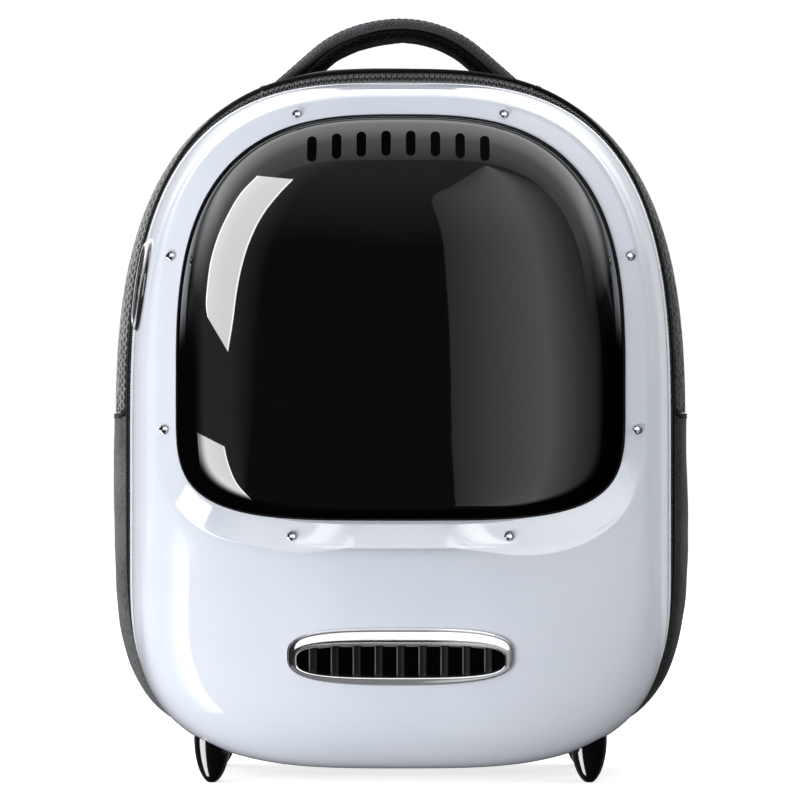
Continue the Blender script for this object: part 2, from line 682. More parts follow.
def only_for(light, *pieces):
    """Keeps a light or card to some pieces."""
    group = bpy.data.collections.new(light.name + "_group")
    for made in pieces:
        group.objects.link(made)
    light.light_linking.receiver_collection = group


low_card = upright(
    "card_low_left", (-0.1, -0.15, 0.19), 0.7, (-110, -65), (-76, -76), (-2, -12), [(0, 5.0), (1, 5.0)])
foot_card = upright("card_feet", (0, -0.1, 0.02), 0.9, (-84, -40), (-24, -24), (12, 12), [(0, 13.0), (1, 13.0)])
right_card = upright(
    "card_right", (0.05, -0.16, 0.26), 1.1, (6, 88), (-72, -60), (64, 74),
    [(0, 0.24), (0.28, 0.5), (0.55, 0.3), (0.85, 0.1), (1, 0.055)])
trim_light, trim_low, trim_side, trim_left = (softbox(*entry, glossy=True, diffuse=False) for entry in (
    ("trim", (0.25, -1.3, 0.82), (0.25, -0.1, 0.82), 2.4, 1.3, 1.25),
    ("trim_low", (0, -0.4, -0.5), (0, -0.12, 0.07), 2.0, 0.7, 0.2),
    ("trim_side", (-1.3, 1.35, 0.35), (-0.15, 0, 0.28), 1.0, 1.2, 0.7),
    ("trim_left", (-1.1, -1.2, 0.45), (-0.15, -0.05, 0.28), 0.35, 0.9, 0.9),
))
right_side = softbox("right_side", (2.2, 0.1, 0.3), (0, -0.05, 0.2), 1.0, 1.0, 9.0)
for entry in (
    ("key", (-1.8, -1.9, 1.1), (0, -0.1, 0.22), 1.3, 1.3, 1.5),
    ("front_high", (-0.2, -1.2, 1.75), (0, -0.1, 0.2), 1.0, 1.0, 2.2),
    ("low_left", (-2.3, -1.2, 0.15), (0, -0.1, 0.22), 1.2, 1.0, 2.4),
    ("under_left", (-1.5, -1.5, -0.75), (0, -0.1, 0.15), 1.2, 1.0, 11.5),
    ("fill", (2.1, -1.2, 0.35), (0, -0.1, 0.22), 1.4, 1.4, 0.15),
    ("bounce", (0, -0.95, 0.03), (0, -0.75, 0.5), 1.5, 0.9, 0.74),
    ("overhead", (0, 0.1, 2.0), (0, 0.1, 0.2), 1.6, 1.4, 2.7),
    ("back_left", (-1.7, 1.2, 1.0), (0, 0, 0.2), 0.9, 0.9, 5.0),
    ("back_right", (1.6, 1.7, 1.0), (0, 0, 0.2), 0.9, 0.9, 2.5),
):
    softbox(*entry)

# The camera sees a white studio, and the pieces reflect a darker one
world = bpy.data.worlds.new("studio")
scene.world = world
world.use_nodes = True
world.node_tree.nodes.clear()
studio = Nodes(world.node_tree)
heading = studio.node("SeparateXYZ", studio.node("TexCoord")).node


def sky(axis, *stops):
    """Brightness by how far a direction leans along an axis."""
    lean = studio.math("MULTIPLY_ADD", heading.outputs[axis], 0.5, 0.5)
    return studio.ramp(lean, *[(at * 0.5 + 0.5, tone) for at, tone in stops])


above = studio.math(
    "MULTIPLY", sky("Y", (-0.12, 0.0), (-0.1, 0.13), (0.2, 0.2), (0.65, 1.0)), sky("Z", (0.15, 0.03), (0.5, 1.0)))
behind = studio.math("MULTIPLY", sky("Y", (0.74, 0.0), (0.9, 0.25)), sky("Z", (-0.14, 0.0), (-0.06, 1.0)))
ahead = sky("Z", (0.55, 0.011), (0.98, 0.065))
felt = studio.node("Background", studio.math("MAXIMUM", studio.math("MAXIMUM", above, behind), ahead), 2.0)
seen = studio.node("Background", (1, 1, 1, 1), 1.02)
mixed = studio.node("MixShader", studio.node("LightPath"), felt, seen)
studio.feed(studio.tree.nodes.new("ShaderNodeOutputWorld").inputs[0], mixed)

floor_faces = Faces()
radii = np.array([0.01, 400, 900, 1600, 2600, 4200])[:, None]
disc = np.stack(np.broadcast_arrays(radii * np.cos(turns(96)), radii * np.sin(turns(96)), -0.2), -1)
floor_faces.sheet(floor_faces.add(disc), cloth_map(disc), True, True)
floor_finish = Finish("pale_floor", Emission_Color=(1, 1, 1, 1), Emission_Strength=0.75)
grain = floor_finish.noise(floor_finish.place(), 40.0, 4.0)
floor_finish.set(
    Base_Color=floor_finish.ramp(grain, (0.3, (0.86, 0.87, 0.88)), (0.7, (0.9, 0.905, 0.91))),
    Roughness=floor_finish.band(grain, 0.6, 0.8),
)
floor = bpy.data.objects.new("floor", mesh_of("floor", floor_faces))
floor.data.materials.append(floor_finish.material)
scene.collection.objects.link(floor)
floor.visible_glossy = floor.visible_diffuse = floor.visible_shadow = False

# Front shell
STATIONS = ring()
SHELL_THICK = 3
RIM_AT = np.array([0, 0.02, 0.045, 0.07, 0.095, 0.12, 0.15, 0.3, 0.5, 0.75, 1])
RIM_INSET = np.array([0, 0.1, 0.5, 0.95, 1.3, 1.45, 1.45, 1.15, 0.7, 0.25, 0])
shell_rows = smooth_rows(SHELL, np.concatenate([RIM_AT, np.linspace(1, 4.86, 46)[1:]]))
shell_rows[: len(RIM_AT), [0, 1]] -= RIM_INSET[:, None]
shell_rows[: len(RIM_AT), 4] += RIM_INSET
band_start = SHELL[-1] + 0.14 * (WINDOW_EDGE - SHELL[-1])
t = np.linspace(0, 1, 8)[1:-1, None]
crease_rows = (1 - t) ** 2 * shell_rows[-1] + 2 * t * (1 - t) * SHELL[-1] + t ** 2 * band_start
band_rows = band_start + np.linspace(0, 1, 9)[:, None] * (WINDOW_EDGE - band_start)
shell_grid = grid_of(np.vstack([shell_rows, crease_rows, band_rows]), STATIONS)
shell_normals = normals_of(shell_grid)
shell_faces = Faces()
shell_faces.wall(shell_grid, shell_grid - SHELL_THICK * shell_normals, cloth_map(shell_grid), lining=1)
skin_faces = Faces()
skin_quads, _ = skin_faces.sheet(skin_faces.add(shell_grid), cloth_map(shell_grid), True)
SKIN = BVHTree.FromPolygons([Vector(p) for p in shell_grid.reshape(-1, 3).tolist()], skin_quads.tolist())


def on_skin(start, way):
    """Where a ray meets the shell's outer face, and the normal there, facing the ray."""
    place, normal, _, _ = SKIN.ray_cast(Vector(start), Vector(way).normalized())
    normal = -normal if normal.dot(Vector(way)) > 0 else normal
    return np.array(place), np.array(normal)


class Patch:
    """A place on the shell with its normal and the directions across and up, to lay other pieces on."""

    def __init__(self, start, way, standing=False):
        self.origin, self.normal = on_skin(start, way)
        self.across = unit(np.cross([0, 0, 1], self.normal))
        self.up = np.cross(self.normal, self.across)
        if standing:
            self.across, self.up = self.up, -self.across

    def lay(self, points):
        """Points as across, up and height over the shell."""
        laid = []
        for a, b, height in np.asarray(points, float).reshape(-1, 3):
            start = self.origin + a * self.across + b * self.up + 60 * self.normal
            laid.append(on_skin(start, -self.normal)[0] + height * self.normal)
        return np.array(laid).reshape(np.shape(points))


VENTS = {  # outer and inner are ovals: half length, half height and power
    "vent": dict(
        patch=Patch((0, -400, 72.9), (0, 1, 0)), outer=(62.8, 16, 3.05), inner=(57.4, 8.9, 3.5), drop=2.2,
        height=3.4, hidden=2.2, depth=7, sink=1.2, vanes=9, pitch=12.1, width=4.4,
    ),
    "side_vent": dict(
        patch=Patch((-400, -39, 279.5), (1, 0, 0), True), outer=(26.5, 18, 2.0), inner=(21.8, 12.6, 2.0), drop=0,
        height=3.2, hidden=1.8, depth=5, sink=0.8, vanes=4, pitch=8.4, width=2.4,
    ),
}


def flat_rim(vent, grow, height, count):
    """A vent's inner oval, grown, at a height over the shell."""
    half, high, power = vent["inner"]
    rim = oval(half + grow, high + grow, power, turns(count), vent["drop"])
    return np.hstack([rim, np.full((count, 1), height)])


def vent_hole(vent):
    hole = Faces()
    ends = [vent["patch"].lay(flat_rim(vent, vent["hidden"], height, 96)) for height in (8.0, -9.0)]
    hole.tube(np.stack(ends), flip=True)
    return hole


shell_mesh = mesh_of("front_shell", shell_faces, 50)
shell = piece("shell_moulding", shell_mesh, [SHELL_PLASTIC, LINING], "shell", "front_shell")
edge = shell.modifiers.new("edge", "BEVEL")
edge.width, edge.segments, edge.limit_method, edge.angle_limit = 0.0007, 3, "ANGLE", math.radians(50)
bake(shell)
carve(shell, *[vent_hole(v) for v in VENTS.values()])

# Rivets
RIVETS = {"top": (57.5, 373.7), "upper": (127.4, 294.4), "lower": (131.2, 198.0), "bottom": (60.0, 139.2)}
RIVET_PROFILE = np.array([  # radius and height
    [2.4, 0.12], [2.78, 0.2], [2.9, 0.42], [2.84, 0.7], [2.62, 1.04], [2.24, 1.42], [1.7, 1.74], [1.0, 1.95],
    [0.3, 2.04],
])[:, None]
rivet_heads = []
for place_name, (x, z) in RIVETS.items():
    for side_name, sign in SIDES:
        seat, up = on_skin((sign * x, -400, z), (0, 1, 0))
        across = unit(np.cross(up, [0, 0, 1]))
        spin = turns(28)[:, None]
        round_about = np.cos(spin) * across + np.sin(spin) * np.cross(up, across)
        head = Faces()
        head.tube(seat + RIVET_PROFILE[..., :1] * round_about + RIVET_PROFILE[..., 1:] * up)
        name = f"rivet_{place_name}_{side_name}"
        rivet_heads.append(piece(name + "_head", mesh_of(name, head), [RIVET_STEEL], "chrome", name))

# Window
DOME_THICK = 2
STEEP_LONG, TIP_OPEN = 62, 1.5  # the steep part's length, and the tip that a fan closes
flange = DOME[0] + np.linspace(0, 0.9, 5)[:, None] * (DOME[1] - DOME[0])
t = np.linspace(0, 1, 6)[1:-1, None]
neck_start = DOME[1] + 0.35 * (DOME[2] - DOME[1])
root = (1 - t) ** 2 * flange[-1] + 2 * t * (1 - t) * DOME[1] + t ** 2 * neck_start
bubble = np.vstack([neck_start, DOME[2:], DOME_APEX])
far_side = DOME[[7, 6]].copy()  # the outlines go on over the apex, so that it is round
far_side[:, 0] *= -1
far_side[:, [1, 4]] = far_side[:, [4, 1]]
far_side[:, [7, 9]] = far_side[:, [9, 7]]
far_side[:, 2:4] = 2 * DOME_APEX[2] - far_side[:, 2:4]
knots = np.vstack([bubble, far_side])
length = distances(knots[:, [0, 8]])
reach = length[len(bubble) - 1]
dome_at = np.concatenate([np.linspace(0, STEEP_LONG, 34), np.linspace(STEEP_LONG, reach - TIP_OPEN, 44)[1:]])
dome_rows = spline(length, knots, dome_at)
dome_grid = grid_of(np.vstack([flange, root, dome_rows]), STATIONS)
dome_normals = normals_of(dome_grid)
dome_inner = dome_grid - DOME_THICK * dome_normals
dome_faces = Faces()
uv = cloth_map(dome_grid)
a, b = dome_faces.add(dome_grid), dome_faces.add(dome_inner)
dome_faces.sheet(a, uv, True)
dome_faces.sheet(b, uv, True, True)
dome_faces.sheet(np.stack([b[0], a[0]]), uv[:2], True)
for index, points, turned in ((a, dome_grid, False), (b, dome_inner, True)):
    dome_faces.fan(index[-1], points[-1].mean(0), np.zeros(2), turned)
dome = piece("window_bubble", mesh_of("window_dome", dome_faces, 60), [SMOKED], "smoked_window", "window_dome")
SLOTS, SLOT_PITCH, SLOT_HALF, SLOT_STRAIGHT, SLOT_SHIFT = 8, 13.6, 2.65, 4.7, -1.2
SLOT_TOP, SLOT_SAG, SLOT_SPAN, SLOT_REACH = 356.0, 3.1, 47.6, (-125.0, -60.0)  # the row sags at its ends
slots = []
for k in range(SLOTS):
    x = (k - (SLOTS - 1) / 2) * SLOT_PITCH + SLOT_SHIFT
    z = SLOT_TOP - SLOT_SAG * (x / SLOT_SPAN) ** 2
    c, s = np.cos(turns(32)), np.sin(turns(32))
    slots.append(Faces())
    slots[-1].tube(np.stack([
        np.stack([SLOT_HALF * c + x, np.full(32, y), SLOT_HALF * s + np.sign(s) * SLOT_STRAIGHT + z], -1)
        for y in SLOT_REACH]), flip=True)
carve(dome, *slots)
dome.visible_shadow = dome.visible_glossy = False

# Cards whose reflections lie where the photo shows them
EDGED = [(0, 8.4), (0.03, 8.4), (0.05, 5.4), (0.94, 5.4), (0.96, 8.4), (1, 8.4)]
window_mirror, shell_mirror = Mirror(dome_grid, dome_normals), Mirror(shell_grid, shell_normals)
dome_cards = [
    window_mirror.card("card_strip", [
        (257.3, 175.7, 293.2, 179.4), (241.1, 192.5, 277.8, 195.6), (228.9, 212.4, 262.5, 215.5),
        (218.2, 235.4, 250.3, 240), (210.5, 261.4, 242, 266), (206.8, 289, 236.5, 294), (205.9, 306, 233.2, 320),
        (207.5, 317, 228, 351.7),
    ], 150.0, EDGED),
    window_mirror.card("card_patch", [
        (197.3, 432.8, 224.3, 446.6), (198.6, 451.2, 228.9, 465), (200.7, 471, 238, 484.9), (206.5, 492, 258, 506),
    ], 600.0, EDGED),
    window_mirror.card("card_panel", [
        (484, 166, 488, 166), (468, 176, 517, 175), (450, 187, 541, 186), (432, 198, 560, 198), (438, 221, 576, 221),
        (444, 249, 587, 249), (449, 322, 599, 322), (451, 380, 603, 380), (452, 440, 602, 440), (454, 480, 594, 480),
        (455, 506, 570, 506),
    ], 1000.0, [(0, 0.17), (0.14, 0.25), (0.64, 0.61), (0.85, 0.24), (1, 0.04)]),
]


def pixel(row, degrees):
    """Where the photo shows a point of an outline."""
    angle = math.radians(degrees % 360)
    x, y, z = spot(row, np.array([angle]), np.array([1.0 if math.sin(angle) > 0 else 0.0]))[0]
    scale = PHOTO_SCALE * (FRONT_VIEW + y) / FRONT_VIEW
    return np.array([PHOTO_SIZE / 2 + (x - EYE_SIDE) / scale, PHOTO_SIZE / 2 - (z - EYE_HEIGHT) / scale])


def margin(degrees, share):
    """A pixel part of the way from the window's middle to its edge."""
    return WINDOW_MIDDLE + share * (pixel(WINDOW_EDGE, degrees) - WINDOW_MIDDLE)


def ledge(degrees):
    """A pixel on each edge of the flat band round the window."""
    inner, outer = pixel(WINDOW_EDGE, degrees), pixel(SHELL[-1], degrees)
    return np.concatenate([inner + share * (outer - inner) for share in (0.03, 0.84)])


WINDOW_MIDDLE = np.array([400.0, 330.0])
MARGIN = (
    (229, 0.88), (206, 0.66), (181, 0.64), (158, 0.63), (137, 0.66), (117, 0.755), (90, 0.79), (60, 0.82), (35, 0.88),
    (15, 0.945))
dome_cards.append(window_mirror.card(
    "card_margin", [np.concatenate([margin(angle, inner), margin(angle, 0.95)]) for angle, inner in MARGIN], 1500.0,
    [(0, 0.0), (0.36, 0.12), (0.75, 0.12), (1, 0.09)]))
stripe_card = shell_mirror.card("card_stripe", [
    (169, 536, 192, 536), (168, 548, 190, 548), (167, 586, 188.3, 586), (167, 624, 187.8, 624), (169, 645, 189.5, 645),
    (175, 675, 196, 671), (188, 698, 206, 693), (205, 713, 224, 713),
], 1000.0, [(0, 0.0), (0.45, 2.8), (0.7, 4.2), (1, 4.4)])
LEDGE_GLOWS = {  # how far off a card is, and its glow by the angle round the window
    "left": (90.0, [(216, 6.5), (226, 6.5)]),
    "low": (280.0, [(228, 0), (235, 2.4), (250, 3.8), (264, 4.8), (285, 4.8), (306, 4.2), (324, 3.6), (340, 0)]),
    "high": (1000.0, [(376, 0), (392, 1.8), (408, 2.4), (420, 1.8), (436, 0)]),
}
ledge_cards = []
for name, (far, glows) in LEDGE_GLOWS.items():
    start, end = glows[0][0], glows[-1][0]
    ledge_cards.append(shell_mirror.card(
        "card_ledge_" + name, [ledge(degrees) for degrees in np.linspace(start, end, 13)], far,
        [((degrees - start) / (end - start), glow) for degrees, glow in glows], along=True))


def trim(section, profile):
    """Rings of a strip that runs round an outline. A profile row is a step inward and a step forward."""
    line = spot(section, *STATIONS)
    along = unit(np.roll(line, -1, 0) - np.roll(line, 1, 0))
    inward = unit(np.stack([-along[:, 2], np.zeros(len(line)), along[:, 0]], -1))
    profile = np.asarray(profile)
    return line[:, None] + profile[:, :1] * inward[:, None] - profile[:, 1:] * np.array([0, 1, 0])


seal_faces = Faces()
seal_faces.tube(trim(WINDOW_EDGE, [
    [0.05, -2.2], [0.05, 0.1], [0.14, 0.4], [0.35, 0.58], [0.65, 0.6], [0.95, 0.48], [1.15, 0.2], [1.15, -2.2],
]), loop=True, flip=True)
piece("window_seal", mesh_of("window_gasket", seal_faces, 60), [RUBBER], "seal", "window_gasket")

# Vents
BEZEL_LIP_WIDE, BEZEL_TALL = 1.5, 3.3  # BEZEL_TALL is the height that the rows below are drawn for
BEZEL_BAND = np.array([  # share of the band's width from its outer edge, and height
    [0, 0.1], [0, 0.6], [0.018, 0.95], [0.06, 1.1], [0.095, 0.95], [0.115, 0.7], [0.135, 0.75], [0.16, 1.1],
    [0.21, 1.5], [0.3, 1.78], [0.42, 2.03], [0.57, 2.28], [0.72, 2.5], [0.88, 2.68], [0.96, 2.7], [1, 2.5],
])
BEZEL_LIP = np.array([  # distance from the opening, and height
    [1.45, 2.35], [1.38, 2.55], [1.28, 2.9], [1.15, 3.08], [1.0, 3.1], [0.75, 3.04], [0.45, 2.93], [0.15, 2.8],
    [0.04, 2.6], [0, 2.2], [0, 0.8], [0, -0.6],
])
bright_trim = []
for name, vent in VENTS.items():
    patch, drop, depth, sink = vent["patch"], vent["drop"], vent["depth"], vent["sink"]
    half, high, power = vent["inner"]
    outer_rim = oval(*vent["outer"], turns(160))
    inner_rim = oval(*vent["inner"], turns(160), drop)
    room = np.linalg.norm(outer_rim - inner_rim, axis=1)
    share = np.concatenate([BEZEL_BAND[:, :1] * (1 - BEZEL_LIP_WIDE / room), 1 - BEZEL_LIP[:, :1] / room])[..., None]
    flat = outer_rim * (1 - share) + inner_rim * share
    tall = np.concatenate([BEZEL_BAND[:, 1], BEZEL_LIP[:, 1]])[:, None, None] * vent["height"] / BEZEL_TALL
    laid = patch.lay(np.concatenate([flat, np.broadcast_to(tall, flat.shape[:2] + (1,))], -1))
    laid = np.concatenate([laid, laid[[-1]] + 0.35 * unit(laid[[0]] - laid[[-1]])])
    bezel = Faces()
    bezel.tube(np.swapaxes(laid, 0, 1), loop=True)
    bright_trim.append(piece(name + "_frame", mesh_of(name + "_bezel", bezel, 40), [CHROME], "chrome", name + "_bezel"))

    louvre = Faces()
    hidden = vent["hidden"] - 0.4
    rings = [patch.lay(flat_rim(vent, grow, -sink - deep, 160)) for grow, deep in (
        (hidden, 0), (-0.2, 0), (-0.2, depth), (hidden, depth))]
    louvre.tube(np.swapaxes(np.stack(rings), 0, 1), loop=True)
    for k in range(vent["vanes"]):
        x = (k - (vent["vanes"] - 1) / 2) * vent["pitch"]
        tall = high * (1 - min(1, abs(x) / half) ** power) ** (1 / power) + 0.6
        w, r = vent["width"] / 2, 0.7
        vane = [
            [-w, -depth], [-w, -r], [-w + 0.2, -0.2], [-w + r, 0], [w - r, 0], [w - 0.2, -0.2], [w, -r], [w, -depth]]
        light_edge = [[0.05 - w, 0.05], [0.65 - w, 0.05], [0.65 - w, -0.5], [0.05 - w, -0.5]]
        for section, reach, steps, finish in ((vane, tall, 7, 0), (light_edge, tall - 0.9, 5, 1)):
            louvre.tube(patch.lay(np.array([
                [[x + a, up - drop, b - sink] for a, b in section] for up in np.linspace(-reach, reach, steps)
            ])), finish=finish)
        if name == "vent" and k < vent["vanes"] - 1:  # a light edge over the cell beside the vane
            cell = x + np.linspace(w + 0.6, vent["pitch"] - w - 0.4, 6)
            ceiling = high * (1 - np.minimum(1, np.abs(cell) / half) ** power) ** (1 / power) - drop
            louvre.tube(patch.lay(np.array([
                [[c, t - 0.35, -0.6], [c, t - 1.15, -0.9], [c, t - 1.15, -2.2], [c, t - 0.35, -2.2]]
                for c, t in zip(cell, ceiling)])), finish=1)
    louvre_mesh = mesh_of(name + "_louvre", louvre, 40)
    bright_trim.append(
        piece(name + "_slats", louvre_mesh, [LOUVRE_BLACK, LOUVRE_EDGE], "black_plastic", name + "_louvre"))

# Zip
TAPE_MIDDLE, TAPE_THICK = 4, 1.4
tape_grid = grid_of(smooth_rows(TAPE, np.linspace(0, 2, 9)), STATIONS)
tape_normals = normals_of(tape_grid)
tape_faces = Faces()
tape_faces.wall(tape_grid, tape_grid - TAPE_THICK * tape_normals, cloth_map(tape_grid), flip=True)
for row in (1, 7):
    stitch(tape_faces, tape_grid[row] + 0.1 * tape_normals[row], tape_normals[row], 3.6, 2.6, 0.36)
for x in (-80, 74):  # seams across the tape's top
    middle = tape_grid[TAPE_MIDDLE]
    station = int(np.argmin(np.abs(middle[:, 0] - x) + np.where(middle[:, 2] > 300, 0, 999)))
    up = tape_normals[:, station][:, None]
    across = unit(tape_grid[:, station + 1] - tape_grid[:, station - 1])[:, None]
    c, s = (f(turns(8))[:, None] for f in (np.cos, np.sin))
    tape_faces.tube(tape_grid[:, station][:, None] + 0.35 * up + 0.8 * c * across + 0.55 * s * up, finish=2)
tapes = piece(
    "zip_tapes", mesh_of("zip_tape", tape_faces, 50), [TAPE_CLOTH, THREAD, PALE_THREAD], "webbing", "zip_tape")
tuple((cloth_map(tape_grid)[-1, -1] * MM).tolist())

lift = tape_normals[TAPE_MIDDLE]
coil_line = tape_grid[TAPE_MIDDLE] + 0.95 * lift
coil_line, lift = (np.vstack([line, line[:1]]) for line in (coil_line, lift))
place, along, at = walk(coil_line, 1.55)
lift = unit(sample(lift, distances(coil_line), at))
across = np.cross(lift, along)
stagger = np.where(np.arange(len(place)) % 2, 1.0, -1.0)[:, None]
coil_faces = Faces()
coil_faces.copies(*bead(), (place + stagger * across, np.stack([across * 1.75, along * 0.62, lift * 0.85], 1)))
piece("zip_teeth", mesh_of("zip_coil", coil_faces), [COIL_NYLON], "zip_coil", "zip_coil")

# Zip slider, under the bag
SLIDER_ANGLE = 1.34 * math.pi
slider_at, beside = spot(TAPE[1], SLIDER_ANGLE + np.array([0, 0.02]), np.zeros(2))
along = unit(beside - slider_at)
slider_axes = np.stack([along, [0, -1.0, 0], [along[2], 0, -along[0]]])
slider = Faces()
for (long, wide, tall), power, shift in (((5.5, 4, 3), 4, (0, 3.3)), ((13, 3, 1.8), 5, (13, 5.5))):
    rows = []
    for inset, height in ((0.5, 0), (0.12, 0.12), (0, 0.45), (0, tall - 0.45), (0.12, tall - 0.12), (0.5, tall)):
        flat = oval(long - inset, wide - inset, power, turns(40)) + [shift[0], 0]
        rows.append(slider_at + np.hstack([flat, np.full((40, 1), height + shift[1])]) @ slider_axes)
    slider.tube(np.stack(rows))
piece("zip_pull", mesh_of("zip_slider", slider, 40), [RIVET_STEEL], "chrome", "zip_slider")

# Pipings
for name, section, radius in (("front_piping", FRONT_PIPING, 1.3), ("back_piping", BACK_PIPING, 1.9)):
    piping = Faces()
    piping.tube(trim(section, radius * np.stack([np.cos(turns(12)), np.sin(turns(12))], -1)), loop=True)
    piece(name + "_cord", mesh_of(name, piping), [BINDING], "piping", name)

# Fabric body, with a net window on each side
NET_LOW, NET_HIGH, NET_FRONT, NET_BACK = math.radians(5), math.radians(63), 0.25, 4.0
NET_LONG, NET_DEEP, NET_CORNER = 225.0, 77.5, 9.0
FABRIC_THICK, UNEVEN, CALM_ROWS, CALM_ANGLE = 2.4, 0.8, 0.5, 0.12  # seams and net windows are calm
quarter = np.concatenate([
    np.linspace(0, NET_LOW, 5)[:-1], np.linspace(NET_LOW, NET_HIGH, 61)[:-1], np.linspace(NET_HIGH, math.pi / 2, 21)])
body_angles = np.concatenate([quarter, math.pi - quarter[-2::-1]])
body_stations = ring(angles=body_angles)
body_at = np.concatenate([
    np.linspace(0, NET_FRONT, 7)[:-1], np.linspace(NET_FRONT, NET_BACK, 25)[:-1], np.linspace(NET_BACK, 5, 9)])
body_grid = grid_of(smooth_rows(GUSSET, body_at), body_stations)
body_normals = normals_of(body_grid)
rows_in = (body_at[:-1] >= NET_FRONT - 1e-6) & (body_at[:-1] < NET_BACK - 1e-6)
middle = body_stations[0][: len(body_angles) - 1] + np.diff(body_angles) / 2
turn_in = np.zeros(len(body_stations[0]), bool)
folded = np.minimum(middle, math.pi - middle)
turn_in[: len(middle)] = (folded > NET_LOW) & (folded < NET_HIGH)
cells = ~(rows_in[:, None] & turn_in[None, :])
hold = np.clip(np.minimum(body_at, len(GUSSET) - 1 - body_at) / CALM_ROWS, 0, 1)[:, None]
beside = np.minimum(body_stations[0], math.pi - body_stations[0])
beside = np.maximum(NET_LOW - beside, beside - NET_HIGH) / CALM_ANGLE
hold = hold * np.where(body_stations[1] > 0.99, np.clip(beside, 0, 1), 1)[None, :]
soft = ripple(body_grid, 70, 3) * 0.9 + ripple(body_grid, 26, 5) * 0.35
body_grid = body_grid + (soft * hold)[..., None] * body_normals * UNEVEN
body_normals = normals_of(body_grid)
body_faces = Faces()
body_map = cloth_map(body_grid)
body_faces.wall(body_grid, body_grid - FABRIC_THICK * body_normals, body_map, flip=True, cells=cells, lining=3)
for row in (2, len(body_at) - 3):
    stitch(body_faces, body_grid[row], body_normals[row])


def net_spot(u, v, lift):
    """A point off the net window on the viewer's left, by its distance along and across the window."""
    angle = math.pi - NET_HIGH + (NET_HIGH - NET_LOW) * u / NET_LONG
    at = NET_FRONT + (NET_BACK - NET_FRONT) * v / NET_DEEP
    above = np.ones_like(angle)
    rows = smooth_rows(GUSSET, at)
    point = spot(rows, angle, above)
    along = spot(rows, angle + 1e-3, above) - point
    across = spot(smooth_rows(GUSSET, at + 1e-3), angle, above) - point
    return point + unit(np.cross(across, along)) * lift


def net_border(grow, lift):
    """The window's outline with round corners, grown outward."""
    w, h, r = NET_LONG / 2 + grow, NET_DEEP / 2 + grow, NET_CORNER + grow
    line = []
    for cx, cy, start in ((w - r, h - r, 0), (-w + r, h - r, 1), (-w + r, -h + r, 2), (w - r, -h + r, 3)):
        turn = (start + np.linspace(0, 1, 9)) * math.pi / 2
        line.append(np.stack([cx + r * np.cos(turn), cy + r * np.sin(turn)], -1))
    line = np.concatenate([*line, line[0][:1]])
    far = distances(line)
    line = sample(line, far, np.linspace(0, far[-1], 181)[:-1]) + [NET_LONG / 2, NET_DEEP / 2]
    return net_spot(*line.T, lift)


BIND_LIFT = -0.25
BIND = [  # a step out from the window's edge, and a height
    (-1.6, -0.5), (-1.5, 0.0), (-1.1, 0.42), (0, 0.5), (1.1, 0.42), (1.5, 0.0), (1.6, -0.5), (1.1, -0.9), (-1.1, -0.9)]
for sign in (1, -1):
    border = np.stack([net_border(grow, lift + BIND_LIFT) for grow, lift in BIND], 1) * [sign, 1, 1]
    body_faces.tube(border, loop=True, flip=sign < 0, finish=2)
    for grow in (-0.9, 0.9):
        line, above = (net_border(grow, lift) * [sign, 1, 1] for lift in (0.17, 1.17))
        stitch(body_faces, line, above - line, 3.4, 2.4, 0.36)
body_mesh = mesh_of("fabric_body", body_faces, 55)
body = piece("fabric_cover", body_mesh, [FABRIC, THREAD, BINDING, LINING], "fabric", "fabric_body")
body_flat = body_map[-1, -1] * MM
net_flat = np.array([NET_LONG, NET_DEEP]) * MM
float(body_flat.prod() - 2 * net_flat.prod())

# Nets: staggered round holes, each in a six-sided cell
PITCH, STRETCH, HOLE = 4.7, 1.75, 1.75
CLEAR_U, CLEAR_V = 2.0, 2.6  # from a cell's middle to the window's edge
ROW_STEP = PITCH * 0.866 * STRETCH
i, j = np.meshgrid(np.arange(int(NET_LONG / PITCH) + 2), np.arange(int(NET_DEEP / ROW_STEP) + 2), indexing="ij")
middle_u, middle_v = ((i + 0.5 * (j % 2)) * PITCH).ravel(), ((j + 0.45) * ROW_STEP).ravel()
inside = (middle_u > CLEAR_U) & (middle_u < NET_LONG - CLEAR_U) & (middle_v > CLEAR_V) & (middle_v < NET_DEEP - CLEAR_V)
middle_u, middle_v = middle_u[inside][:, None], middle_v[inside][:, None]
net_turn = turns(12) + math.pi / 6
cell_reach = PITCH / math.sqrt(3) * np.where(np.arange(12) % 2 == 0, 1, math.cos(math.pi / 6))
EDGE_REACH, HOLE_REACH = (cell_reach, cell_reach * STRETCH), (HOLE, HOLE * STRETCH * 0.94)
RIB_REACH = (HOLE_REACH[0] * 1.18, HOLE_REACH[1] * 1.14)
net_faces = Faces()
numbers = []
for (reach_u, reach_v), lift in (
    (EDGE_REACH, -0.85), (RIB_REACH, -0.55), (HOLE_REACH, -0.8), (HOLE_REACH, -1.5), (RIB_REACH, -1.75),
    (EDGE_REACH, -1.5),
):
    u, v = middle_u + reach_u * np.cos(net_turn), middle_v + reach_v * np.sin(net_turn)
    numbers.append(net_faces.add(net_spot(u, v, lift)))
net_map = np.broadcast_to(np.stack([middle_u, middle_v], -1)[:, :, None], (len(middle_u), 12, 4, 2)).reshape(-1, 4, 2)
for a, b in zip(numbers, numbers[1:]):
    quads = np.stack([a, np.roll(a, -1, 1), np.roll(b, -1, 1), b], -1).reshape(-1, 4)
    net_faces.keep(quads[:, ::-1], net_map)
for side_name, sign in SIDES:
    net_mesh = mesh_of("net_" + side_name, net_faces, mirror=sign > 0)
    weld = bmesh.new()
    weld.from_mesh(net_mesh)
    bmesh.ops.remove_doubles(weld, verts=weld.verts, dist=0.00002)
    weld.to_mesh(net_mesh)
    weld.free()
    net = piece("net_panel_" + side_name, net_mesh, [NET_YARN], "net", "net_" + side_name)


